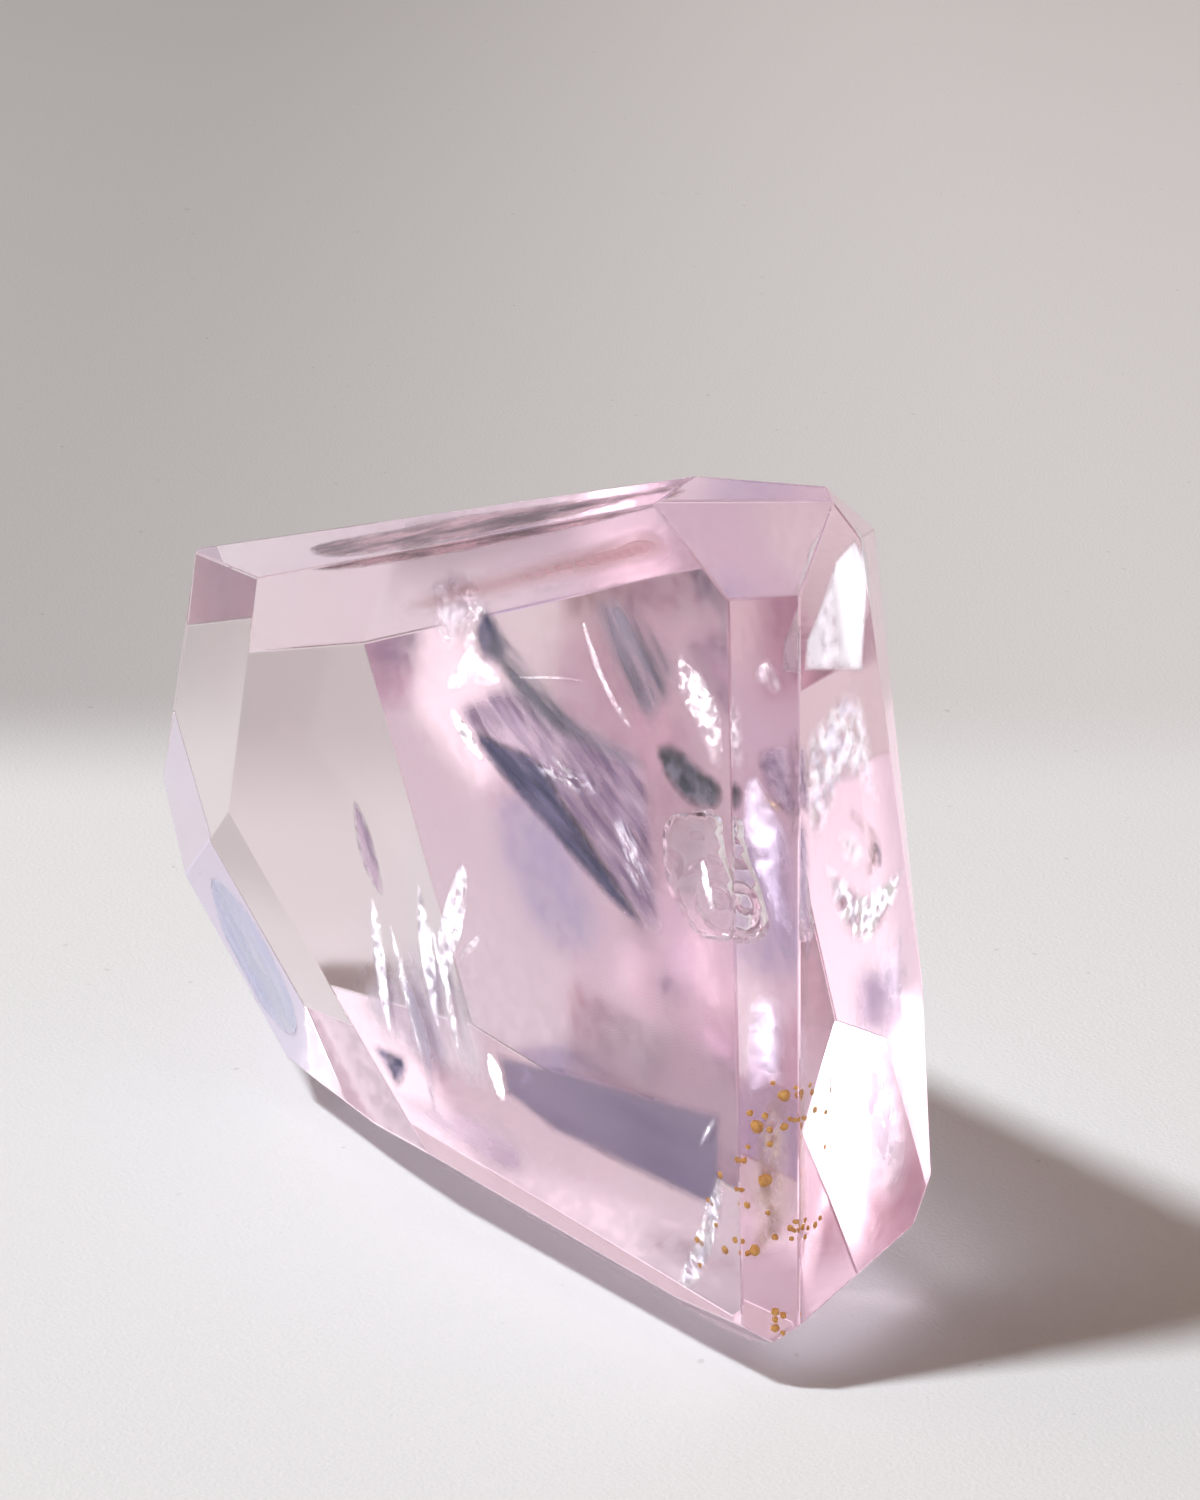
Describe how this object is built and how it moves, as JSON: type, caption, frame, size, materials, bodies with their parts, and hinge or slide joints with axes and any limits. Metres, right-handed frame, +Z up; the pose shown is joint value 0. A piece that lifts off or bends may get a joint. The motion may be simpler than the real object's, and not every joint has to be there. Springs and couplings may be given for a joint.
{
  "type": "rose quartz",
  "caption": "Polished free-form faceted piece of clear pale rose quartz: a wedge-sided slab that stands on a narrow ground base.",
  "frame": {"origin": "on the surface the stone stands on, under the middle of its bounding box", "axes": "+Z up, +X along the length of the slab towards its thin polished end, +Y from the broad front facet to the back"},
  "size_m": [0.0735, 0.0234, 0.0533],
  "materials": {
    "rose_quartz": "polished"
  },
  "bodies": {
    "root": {"rose_quartz": "rose_quartz"}
  },
  "joints": []
}
